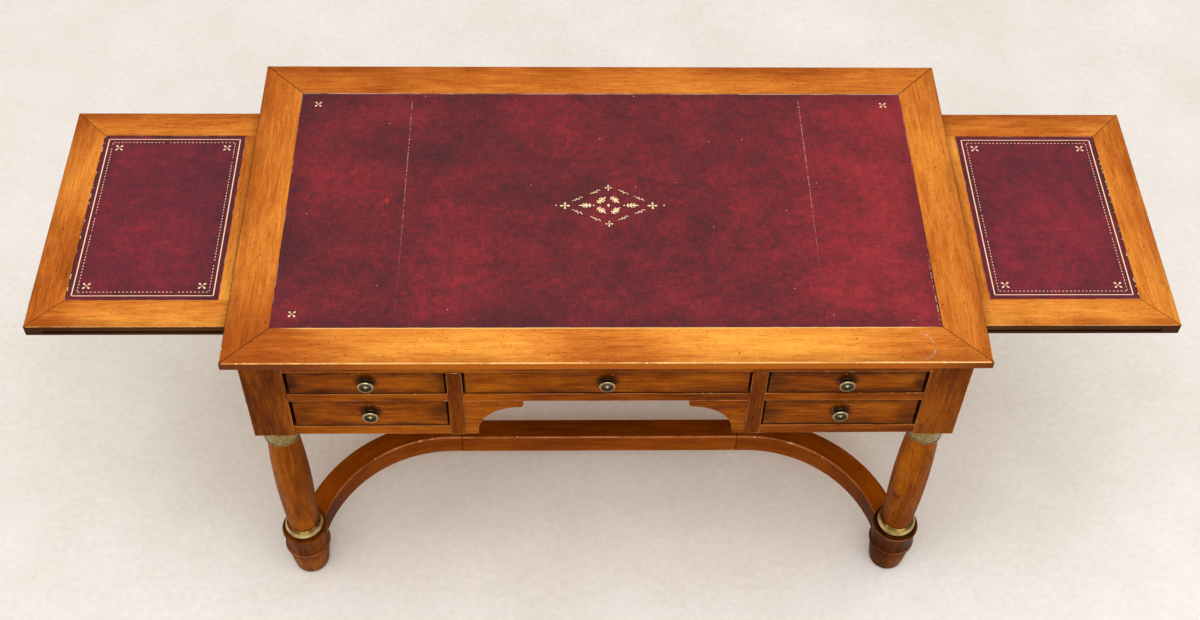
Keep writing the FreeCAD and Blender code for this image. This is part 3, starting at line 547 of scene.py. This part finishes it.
def drawer_wood(name, face, soil_and_shade):
    """A drawer face, darkened towards its edges by handling dirt, old polish and painted shade, with a
    painted shadow about its knob and painted shade in the gaps along its foot and arrises.
    """
    graph = Graph(name)
    colour, height = timber(graph, ordered(graph, "x"), CASE)
    low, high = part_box(face)
    width = high.x - low.x
    tall = high.z - low.z
    across, _, up = graph.split(graph.coordinates("Generated"))
    beside = graph.times(graph.minus(across, 0.5), width)
    above = graph.times(graph.minus(up, 0.5), tall)
    side = graph.span(graph.size(beside), width / 2 - 0.06, width / 2)
    rail = graph.span(graph.size(above), tall / 2 - 0.022, tall / 2)
    place = graph.coordinates()
    blot = graph.span(graph.noise(place, 22.0, 4.0), 0.3, 0.7, 0.3, 1.0)
    # Handling dirt and painted shade towards the edges
    edge = graph.times(graph.most(side, rail), blot)
    # Painted shade in the gap along the foot
    foot = graph.span(graph.times(above, -1.0), tall / 2 - 0.004, tall / 2 - 0.001)
    from_knob = graph.length(beside, graph.minus(above, 0.008), 0.0)
    # Painted shadow of the knob, a little above it
    knob_shadow = graph.fade(from_knob, 0.012, 0.029, 0.8)
    sharp, rounded = arris(graph)
    shade = graph.most(graph.times(edge, soil_and_shade), knob_shadow)
    # Painted shade in the gaps along the foot and the sharp arrises
    shade = graph.most(shade, graph.times(graph.most(foot, sharp), 0.8))
    colour = grime_and_shade(graph, graph.mix(shade, colour, SOOT_AND_SHADE))
    x, _, z = graph.split(place)
    nicks = graph.nicks(graph.join(x, z, 0.0), scale=90.0, radius=0.1, scarcity=0.8)
    about_knob = graph.fade(from_knob, 0.02, 0.045, 0.7)
    colour = graph.mix(graph.times(nicks, about_knob), colour, srgb(232, 160, 130))
    return waxed(graph, colour, height, normal=rounded)


# Leather

BURGUNDY = [(0.39, srgb(64, 21, 29)), (0.49, srgb(98, 26, 34)), (0.57, srgb(132, 31, 40)),
            (0.68, srgb(168, 42, 50))]

# Marks on the top's leather: where its seams run, how far inside its edge the blind-tooled line lies,
# and the place of a scrape, with the scales that make it an oval
SEAMS = (-0.391, 0.4055)
TOOLED_INSET = 0.013
SCRAPE = (-0.4244, 0.007)
SCRAPE_SCALES = (250.0, 143.0)


def hide_depth(graph, low, high):
    """Distance from the nearest edge of a hide."""
    x, y, _ = graph.split(graph.coordinates())
    from_low = graph.least(graph.minus(x, low.x), graph.minus(y, low.y))
    from_high = graph.least(graph.minus(high.x, x), graph.minus(high.y, y))
    return graph.least(from_low, from_high)


def mottled_hide(graph, lift):
    """Burgundy colour in clouds and blotches, brushed both ways; a lift makes it redder."""
    place = graph.coordinates()
    cloud = graph.noise(place, 5.0, 4.0, 0.6, 0.4)
    patch = graph.noise(place, 19.0, 4.0, 0.65, 0.6)
    mottle = graph.noise(place, 70.0, 5.0, 0.7, 0.5)
    weft = graph.brushed(place, (60, 420, 1), 3.0, 0.6)
    warp = graph.brushed(place, (420, 60, 1), 3.0, 0.6)
    level = graph.total((cloud, 0.28), (patch, 0.16), (mottle, 0.2), (weft, 0.2), (warp, 0.2), (1.0, -0.026),
                        (lift, 1.0))
    return graph.ramp(level, BURGUNDY), mottle


def slide_hide(name, low, high):
    """The leather of a slide: bluer than the top's, darker round its edge, and open along the far end, with
    painted shade in the opening and frayed fluff beside it.
    """
    graph = Graph(name)
    place = graph.coordinates()
    x = graph.split(place)[0]
    blot = graph.noise(place, 34.0, 4.0, 0.65, 0.4)
    colour, mottle = mottled_hide(graph, graph.total((blot, 0.16), (x, 0.007), (1.0, -0.072)))
    colour = graph.mix(0.2, colour, srgb(106, 26, 58))
    colour = worn_rim(graph, colour, hide_depth(graph, low, high))
    out = graph.minus(max(abs(low.x), abs(high.x)), graph.size(x))
    # Painted shade in the opening at the far end
    colour = graph.mix(graph.fade(out, 0.0016, 0.003, 0.8), colour, SOOT_AND_SHADE)
    fluff = graph.times(graph.fade(out, 0.001, 0.002, 0.8),
                        graph.span(graph.noise(place, 110.0, 2.0), 0.56, 0.62))
    return tanned(graph, graph.mix(fluff, colour, CREAM), mottle)


def top_hide(low, high):
    """The leather of the top: paler and redder to the right as painted light, with a blind-tooled line, two
    seams, marks of use and a painted highlight along its back edge.
    """
    graph = Graph("top_hide")
    place = graph.coordinates()
    x, y, _ = graph.split(place)
    # Painted light: paler and redder to the right
    colour, mottle = mottled_hide(graph, graph.span(x, 0.1, 0.66, 0.0, 0.08))
    depth = hide_depth(graph, low, high)
    colour = worn_rim(graph, colour, depth)

    dots = graph.span(graph.noise(place, 240.0, 2.0), 0.44, 0.54)
    tooled = graph.fade(graph.size(graph.minus(depth, TOOLED_INSET)), 0.0005, 0.0012, 0.4)
    colour = graph.mix(graph.times(tooled, dots), colour, srgb(46, 12, 22))
    colour = seamed(graph, colour, dots)

    from_scrape = [graph.total((value, scale), (1.0, -middle * scale))
                   for value, middle, scale in zip((x, y), SCRAPE, SCRAPE_SCALES)]
    scraped = graph.fade(graph.length(*from_scrape, 0.0), 0.7, 1.2, 0.75)
    colour = graph.mix(scraped, colour, srgb(172, 46, 50))
    # Painted highlight along the back edge
    far = graph.fade(graph.minus(high.y, y), 0.0012, 0.0026, 0.75)
    patchy = graph.span(graph.noise(place, 22.0, 3.0), 0.4, 0.6, 0.3, 1.0)
    colour = graph.mix(graph.times(far, patchy), colour, srgb(222, 188, 160))
    nicks = graph.nicks(place, scale=14.0, radius=0.012, scarcity=0.86)
    colour = graph.mix(graph.times(nicks, 0.8), colour, CREAM)
    return tanned(graph, loose_edge(graph, colour, high), mottle)


def seamed(graph, colour, dots):
    """Dotted pale lines along the seams, which show less towards the front and end short of the back."""
    x, y, _ = graph.split(graph.coordinates())
    shown = graph.times(graph.span(y, -0.25, 0.15, 0.05, 0.6), graph.fade(y, 0.284, 0.288))
    thread = graph.times(dots, shown)
    for seam in SEAMS:
        away = graph.size(graph.minus(x, seam))
        line = graph.times(graph.fade(away, 0.0004, 0.001), thread)
        colour = graph.mix(line, colour, srgb(222, 180, 160))
    return colour


def loose_edge(graph, colour, high):
    """Show the right edge of the top's leather near the front as lifted: painted shade in a gap along it,
    and frayed hide beside it.
    """
    place = graph.coordinates()
    x, y, _ = graph.split(place)
    gap = graph.minus(high.x, x)
    loose = graph.span(y, -0.1, -0.2)
    # Painted shade in the gap under the lifted edge
    colour = graph.mix(graph.times(graph.fade(gap, 0.0014, 0.0026, 0.85), loose), colour, SOOT_AND_SHADE)
    frayed = graph.times(graph.span(graph.noise(place, 140.0, 2.0), 0.48, 0.6), loose)
    torn = graph.fade(graph.size(graph.minus(gap, 0.0032)), 0.0002, 0.0009, 0.65)
    return graph.mix(graph.times(torn, frayed), colour, CREAM)


def worn_rim(graph, colour, depth):
    """Darken a hide towards its edge, and let the cut edge show pale."""
    place = graph.coordinates()
    blot = graph.span(graph.noise(place, 16.0, 4.0), 0.3, 0.7, 0.3, 1.0)
    rim = graph.times(graph.fade(depth, 0.0, 0.05, 0.5), blot)
    colour = graph.mix(rim, colour, srgb(52, 14, 26))
    patchy = graph.span(graph.noise(place, 30.0, 3.0), 0.5, 0.6)
    cut = graph.times(graph.fade(depth, 0.0004, 0.0012, 0.7), patchy)
    return graph.mix(cut, colour, srgb(206, 166, 140))


def tanned(graph, colour, mottle):
    """Finish leather with a fine grain and a soft sheen."""
    grain = graph.cells(graph.coordinates(), 900.0)[0]
    graph.relief(graph.total((grain, 0.5), (mottle, 1.0)), strength=0.18, depth=0.0008)
    roughness = graph.span(mottle, 0.3, 0.7, 0.44, 0.62)
    return graph.set(Base_Color=colour, Roughness=roughness, Specular_IOR_Level=0.25)


def gold_leaf(name, bright, wear):
    """Gold tooling, rubbed through to the leather where noise passes the wear limit."""
    graph = Graph(name)
    place = graph.coordinates()
    worn = graph.span(graph.noise(place, 300.0, 3.0, 0.65), wear, wear + 0.1)
    colour = graph.mix(worn, bright, srgb(176, 96, 74))
    shine = graph.span(graph.noise(place, 700.0, 2.0), 0.3, 0.7, 0.34, 0.5)
    graph.relief(graph.noise(place, 900.0, 2.0), strength=0.2, depth=0.0003)
    return graph.set(Base_Color=colour, Roughness=shine, Metallic=0.0)


# Brass


def ring_brass(name, bright, dull, spots, dirt, dents):
    """Aged brass: dull brown patina that rubs through to bright metal, and dirt with painted shade in its
    hollows.
    """
    graph = Graph(name)
    place = graph.coordinates()
    patina = graph.span(graph.noise(place, spots, 4.0, 0.6), 0.36, 0.64)
    colour = grime_and_shade(graph, graph.mix(patina, bright, dull), reach=0.008, strength=dirt)
    roughness = graph.span(patina, 0.0, 1.0, 0.16, 0.32)
    graph.relief(graph.noise(place, 240.0, 3.0, 0.6), strength=dents, depth=0.0008)
    return graph.set(Base_Color=colour, Roughness=roughness, Metallic=1.0)


def knob_brass():
    """Knob: rim and button rubbed bright, the dish between them dark, and painted shade in its corners."""
    graph = Graph("knob_brass")
    place = graph.coordinates()
    across, _, up = graph.split(graph.coordinates("Generated"))
    radius = graph.length(graph.minus(across, 0.5), 0.0, graph.minus(up, 0.5))
    dish = graph.times(graph.span(radius, 0.1, 0.15), graph.fade(radius, 0.415, 0.445))
    patina = graph.span(graph.noise(place, 160.0, 4.0, 0.6), 0.4, 0.7)
    dark = graph.most(graph.times(dish, 0.96), graph.times(patina, 0.4))
    colour = graph.mix(dark, srgb(214, 194, 148), srgb(36, 28, 15))
    colour = grime_and_shade(graph, colour, reach=0.006, strength=0.6)
    graph.relief(graph.noise(place, 500.0, 3.0), strength=0.12, depth=0.0005)
    return graph.set(Base_Color=colour, Roughness=graph.span(dark, 0.0, 1.0, 0.22, 0.45), Metallic=1.0)


# Dress the CAD nodes

# How far handling dirt, old polish and painted shade darken the edges of each kind of drawer face
SOIL_AND_SHADE = {"upper": 0.85, "lower": 0.75, "middle": 0.45}


def dress(names, material):
    """Give one material to all of these nodes."""
    for name in names:
        slots = nodes[name].data.materials
        slots.clear()
        slots.append(material)


def ending(words):
    """The nodes whose names end in these words."""
    return [name for name in nodes if name.endswith(words)]


def dress_wood():
    """The top, the slides, the case, the legs and the insides."""
    dress(["top_border_front", "top_border_back"], border_wood("border_wood_long", "x"))
    dress(["top_border_left", "top_border_right"], border_wood("border_wood_short", "y"))
    dress(["slide_left_frame", "slide_right_frame"], slide_wood("slide_wood"))
    rails = ["top_rails", "divider_rails", "bottom_rails", "apron_brackets"]
    dress(rails, case_wood("rail_wood", "x", CASE))
    dress(["corner_posts"], case_wood("post_wood", "z", UPRIGHT))
    dress(["stiles"], case_wood("stile_wood", "z", STILE))
    dress(["side_panels", "slide_mouths"], case_wood("panel_wood", "y", CASE))
    dress(["stretcher_rails"], stretcher_wood("stretcher_wood", bent=False))
    dress(["stretcher_bends"], stretcher_wood("bend_wood", bent=True))
    dress(["leg_columns"], turned_wood("column_wood", LEG))
    dress(["leg_feet"], turned_wood("foot_wood", FOOT))
    for kind, soil_and_shade in SOIL_AND_SHADE.items():
        faces = ending(f"_{kind}_drawer_face")
        dress(faces, drawer_wood(f"{kind}_drawer_wood", faces[0], soil_and_shade))

    cores = ["top_core", "slide_left_core", "slide_right_core"]
    inside = ending("_drawer_box") + ["drawer_runners", "bay_partitions"]
    dress(inside + cores, plain_wood("plain_wood_deep", "y"))
    dress(["slide_guides", "spine_panels"], plain_wood("plain_wood_long", "x"))


def dress_leather():
    """The hides of the top and of the slides."""
    dress(["top_leather"], top_hide(*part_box("top_leather")))
    for name in ("slide_left_leather", "slide_right_leather"):
        dress([name], slide_hide(f"{name}_hide", *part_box(name)))


def dress_brass():
    """The knobs and the rings of the legs."""
    dress(ending("_drawer_knob"), knob_brass())
    dress(["base_rings"], ring_brass("ring_brass", srgb(210, 186, 130), srgb(150, 126, 78),
                                     spots=30.0, dirt=0.35, dents=0.02))
    dress(["capital_rings"], ring_brass("capital_brass", srgb(154, 130, 76), srgb(122, 101, 57),
                                        spots=150.0, dirt=0.4, dents=0.4))


# Gold tooling, drawn in plan as flat shapes just above the leather

GOLD_RISE = 0.00006
DISC_SIDES = 10
SPRIG_STEPS = 6

# Outlines of length and width one, which start at the origin and run along the first coordinate
PETAL = [(0, 0), (0.3, 0.25), (0.62, 0.5), (0.85, 0.42), (1, 0), (0.85, -0.42), (0.62, -0.5), (0.3, -0.25)]
BLADE = [(0, 0), (0.2, 0.34), (0.45, 0.5), (0.72, 0.34), (1, 0), (0.72, -0.34), (0.45, -0.5), (0.2, -0.34)]

# Lobes of a leaf: the place of each pair along it, and how long they are for its width
LOBES = ((0.1, 0.5), (0.3, 0.7), (0.5, 0.6))


class Tooling:
    """Flat gold shapes on one leather node."""

    def __init__(self, leather):
        self.mesh = bmesh.new()
        self.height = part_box(leather)[1].z + GOLD_RISE

    def shape(self, points):
        self.mesh.faces.new([self.mesh.verts.new((x, y, self.height)) for x, y in points])

    def place(self, outline, x, y, angle, length, width):
        turn = Matrix.Rotation(angle, 2)
        self.shape([Vector((x, y)) + turn @ Vector((u * length, v * width)) for u, v in outline])

    def petal(self, x, y, angle, length, width):
        """A drop that starts in a point at x, y and swells along the angle."""
        self.place(PETAL, x, y, angle, length, width)

    def blade(self, x, y, angle, length, width):
        """A leaf shape from x, y along the angle, pointed at both ends."""
        self.place(BLADE, x, y, angle, length, width)

    def disc(self, x, y, radius):
        steps = [math.tau * index / DISC_SIDES for index in range(DISC_SIDES)]
        self.shape([(x + radius * math.cos(step), y + radius * math.sin(step)) for step in steps])

    def bar(self, start, finish, width):
        along = (finish - start).normalized()
        side = Vector((-along.y, along.x)) * width / 2
        self.shape([start - side, finish - side, finish + side, start + side])

    def floret(self, x, y, size):
        """Four petals in a slanting cross, with a dot in the middle."""
        for quarter in range(4):
            angle = math.pi / 4 + quarter * math.pi / 2
            step = Vector((math.cos(angle), math.sin(angle))) * size * 0.1
            self.petal(x + step.x, y + step.y, angle, size * 0.44, size * 0.21)
        self.disc(x, y, size * 0.06)

    def crosslet(self, x, y, width, height):
        """A cross of four drops that meet in the middle."""
        for angle, length in ((0.0, width), (math.pi, width), (math.pi / 2, height), (-math.pi / 2, height)):
            self.petal(x, y, angle, length / 2, width * 0.2)
        self.disc(x, y, width * 0.1)

    def leaf(self, x, y, angle, length, width):
        """A cut leaf about its middle: a blade with lobes to both sides."""
        turn = Matrix.Rotation(angle, 2)
        foot = Vector((x, y)) - turn @ Vector((length / 2, 0))
        self.blade(foot.x, foot.y, angle, length, width * 0.42)
        for place, reach in LOBES:
            for side in (1, -1):
                root = foot + turn @ Vector((length * place, side * width * 0.12))
                self.petal(root.x, root.y, angle + side * 0.75, width * reach * 0.78, width * 0.19)

    def sprig(self, x, y, angle, length):
        """A wavy stem about its middle, with small leaves on alternate sides."""
        turn = Matrix.Rotation(angle, 2)
        points = []
        for step in range(SPRIG_STEPS + 1):
            wave = Vector((length * (step / SPRIG_STEPS - 0.5), length * 0.04 * math.sin(step * 1.6)))
            points.append(Vector((x, y)) + turn @ wave)
        for start, finish in zip(points, points[1:]):
            self.bar(start, finish, length * 0.055)
        for index, point in enumerate(points[1:-1]):
            lean = 0.6 if index % 2 else -0.6
            self.petal(point.x, point.y, angle + lean, length * 0.2, length * 0.075)

    def finish(self, name, body, gold):
        """Turn the shapes into one piece that rides on a body."""
        data = bpy.data.meshes.new(name)
        self.mesh.to_mesh(data)
        self.mesh.free()
        piece = bpy.data.objects.new(name, data)
        bpy.context.scene.collection.objects.link(piece)
        data.materials.append(gold)
        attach(piece, body)


# The top's tooling: the three corner florets that have lasted, and the axis and slope of the lozenge
TOP_FLORETS = ((-0.583, 0.2755), (0.580, 0.2746), (-0.580, -0.2756))
LOZENGE_AXIS = -0.0052
LOZENGE_SLOPE = math.atan2(0.048, 0.0855)

# Leaves about the heart of the lozenge, and sprigs along its sides: place, and turn or side of the slope
HEART_LEAVES = ((-0.0057, 0.009, 0.75), (0.0204, 0.009, -0.75), (-0.006, -0.0182, -0.75),
                (0.0217, -0.0182, 0.75))
SPRIGS = ((-0.0533, 0.0117, 1), (-0.0185, 0.0303, 1), (0.0372, 0.0304, -1), (0.0675, 0.0135, -1),
          (-0.0536, -0.0217, -1), (-0.0182, -0.040, -1), (0.0355, -0.0383, 1), (0.0684, -0.0217, 1))


def tool_top():
    """Corner florets and a lozenge of sprigs, crosslets and leaves in the middle of the top."""
    work = Tooling("top_leather")
    for x, y in TOP_FLORETS:
        work.floret(x, y, size=0.017)
    for x in (-0.095, 0.1158):
        work.disc(x, LOZENGE_AXIS, radius=0.0016)
    for x in (-0.0775, 0.0936):
        work.crosslet(x, -0.006, width=0.0205, height=0.0185)
    for y in (0.042, -0.0535):
        work.crosslet(0.0078, y, width=0.0155, height=0.0165)
    for x, turn, bud in ((-0.038, math.pi, -0.0215), (0.0545, 0.0, 0.038)):
        work.leaf(x, LOZENGE_AXIS, turn, length=0.028, width=0.0125)
        work.disc(bud, LOZENGE_AXIS, radius=0.0015)
    for x, y, turn in HEART_LEAVES:
        work.leaf(x, y, turn, length=0.0255, width=0.0135)
    work.petal(0.0075, -0.0098, math.pi / 2, length=0.008, width=0.006)
    for x, y, side in SPRIGS:
        work.sprig(x, y, side * LOZENGE_SLOPE, length=0.023)
    work.finish("gold_tooling_top", "desk", gold_leaf("gold_top", srgb(255, 229, 182), wear=0.53))


# A slide's tooling: how far its lines and florets lie inside the leather's edge, and the sizes of its lines
RULE_INSET = 0.0105
DASH_INSET = 0.0195
FLORET_INSET = 0.0345
RULE_WIDTHS = (0.0015, 0.0021)
RULE_OVERLAP = 0.0008
DASH_PITCH = 0.0076
LOST_DASHES = 0.03

# Where a dash starts and ends, in pitches, and how wide it is: the least, and the play above it
DASH_START = (0.22, 0.1)
DASH_END = (0.66, 0.12)
DASH_WIDTH = (0.0011, 0.0004)


def inset_corners(low, high, inset):
    """The corners of a hide in turn, each moved in from both of its edges."""
    left, right = low.x + inset, high.x - inset
    front, back = low.y + inset, high.y - inset
    return [Vector(corner) for corner in ((left, front), (right, front), (right, back), (left, back))]


def dash_line(work, start, finish, dice):
    """Uneven dashes from start to finish, with a few of them lost."""
    def roll(least, play):
        return least + play * dice.random()

    along = finish - start
    count = round(along.length / DASH_PITCH)
    for step in range(count):
        if dice.random() < LOST_DASHES:
            continue
        first = start + along * (step + roll(*DASH_START)) / count
        last = start + along * (step + roll(*DASH_END)) / count
        work.bar(first, last, roll(*DASH_WIDTH))


def tool_slide(body, gold):
    """A ruled line, a line of dashes inside it, and a floret in each corner."""
    low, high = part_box(f"{body}_leather")
    work = Tooling(f"{body}_leather")
    dice = random.Random(body)
    rule = inset_corners(low, high, RULE_INSET)
    dashes = inset_corners(low, high, DASH_INSET)
    for index in range(4):
        after = (index + 1) % 4
        start, finish = rule[index], rule[after]
        reach = (finish - start).normalized() * RULE_OVERLAP
        work.bar(start - reach, finish + reach, RULE_WIDTHS[index % 2])
        dash_line(work, dashes[index], dashes[after], dice)
    for corner in inset_corners(low, high, FLORET_INSET):
        work.floret(corner.x, corner.y, size=0.018)
    work.finish(f"gold_tooling_{body}", body, gold)


# Stage

# The glow and the extra brightness are for the camera and for reflections, and light nothing else
FLOOR_SIZE = 60
FLOOR_GLOW = 0.035
SKY_TINT = (1.0, 0.93, 0.82, 1.0)
SKY_STRENGTH = 0.6
SKY_SEEN_BRIGHTER = 0.1


def stage_floor():
    """Pale paper floor, which the camera and reflections see a little lighter than the lamps leave it."""
    bpy.ops.mesh.primitive_plane_add(size=FLOOR_SIZE, location=(0, 0, 0))
    floor = bpy.context.object
    floor.name = "floor"
    graph = Graph("floor_paper")
    place = graph.coordinates()
    cloud = graph.noise(place, 2.2, 5.0, 0.65)
    tooth = graph.noise(place, 70.0, 4.0, 0.65)
    tone = graph.total((cloud, 0.6), (tooth, 0.4))
    colour = graph.ramp(tone, [(0.3, srgb(227, 221, 215)), (0.7, srgb(251, 248, 245))])
    graph.relief(tooth, strength=0.08, depth=0.001)
    path = graph.add("ShaderNodeLightPath").outputs
    seen = graph.total((path["Is Camera Ray"], FLOOR_GLOW), (path["Is Glossy Ray"], FLOOR_GLOW))
    floor.data.materials.append(graph.set(Base_Color=colour, Roughness=0.9, Specular_IOR_Level=0.1,
                                          Emission_Color=srgb(255, 214, 160), Emission_Strength=seen))


def set_sky():
    """An even warm sky, which the camera and reflections see a little brighter."""
    world = bpy.data.worlds.new("studio")
    world.use_nodes = True
    tree = world.node_tree
    sky = tree.nodes["Background"].inputs
    sky["Color"].default_value = SKY_TINT
    path = tree.nodes.new("ShaderNodeLightPath").outputs
    seen = tree.nodes.new("ShaderNodeMath")
    seen.operation = "MAXIMUM"
    tree.links.new(path["Is Camera Ray"], seen.inputs[0])
    tree.links.new(path["Is Glossy Ray"], seen.inputs[1])
    level = tree.nodes.new("ShaderNodeMath")
    level.operation = "MULTIPLY_ADD"
    level.inputs[1].default_value = SKY_SEEN_BRIGHTER
    level.inputs[2].default_value = SKY_STRENGTH
    tree.links.new(seen.outputs[0], level.inputs[0])
    tree.links.new(level.outputs[0], sky["Strength"])
    bpy.context.scene.world = world


def area_light(name, place, target, size, power, tint):
    """A soft box that faces its target."""
    data = bpy.data.lights.new(name, "AREA")
    data.shape = "RECTANGLE"
    data.size, data.size_y = size
    data.energy = power
    data.color = tint
    lamp = bpy.data.objects.new(name, data)
    lamp.location = place
    lamp.rotation_euler = (Vector(target) - Vector(place)).to_track_quat("-Z", "Y").to_euler()
    bpy.context.scene.collection.objects.link(lamp)


def light_stage():
    """Plain colours, soft light from above, and a small warm box in front for the brass."""
    bpy.context.scene.view_settings.view_transform = "Standard"
    set_sky()
    area_light("overhead", place=(0.15, -1.7, 5.6), target=(0.1, -0.3, 0.0), size=(7.0, 6.0), power=263,
               tint=(0.893, 0.935, 1.0))
    area_light("front_box", place=(-0.4, -3.6, 3.4), target=(0.0, -0.2, 0.3), size=(1.4, 0.9), power=14,
               tint=(1.0, 0.98, 0.95))


# The photograph's viewpoint, as fitted to its edges: millimetres, metres and degrees
SENSOR_WIDTH = 36.0
FOCAL_LENGTH = 48.0067
CAMERA_PLACE = (-0.082183, -2.115938, 3.103972)
CAMERA_DIP = 51.2955
CAMERA_TURN = -2.1329
CAMERA_ROLL = 1.5842


def set_camera():
    """A camera in front of the desk, above it and a little to the left of the middle."""
    data = bpy.data.cameras.new("camera")
    data.sensor_width = SENSOR_WIDTH
    data.lens = FOCAL_LENGTH
    camera = bpy.data.objects.new("camera", data)
    tilt = Matrix.Rotation(math.radians(90 - CAMERA_DIP), 4, "X")
    turn = Matrix.Rotation(math.radians(CAMERA_TURN), 4, "Z")
    roll = Matrix.Rotation(math.radians(CAMERA_ROLL), 4, "Z")
    camera.matrix_world = Matrix.Translation(CAMERA_PLACE) @ turn @ tilt @ roll
    bpy.context.scene.collection.objects.link(camera)
    bpy.context.scene.camera = camera


dress_wood()
dress_leather()
dress_brass()
tool_top()
slide_gold = gold_leaf("gold_slides", srgb(255, 220, 182), wear=0.62)
tool_slide("slide_left", slide_gold)
tool_slide("slide_right", slide_gold)
stage_floor()
light_stage()
set_camera()
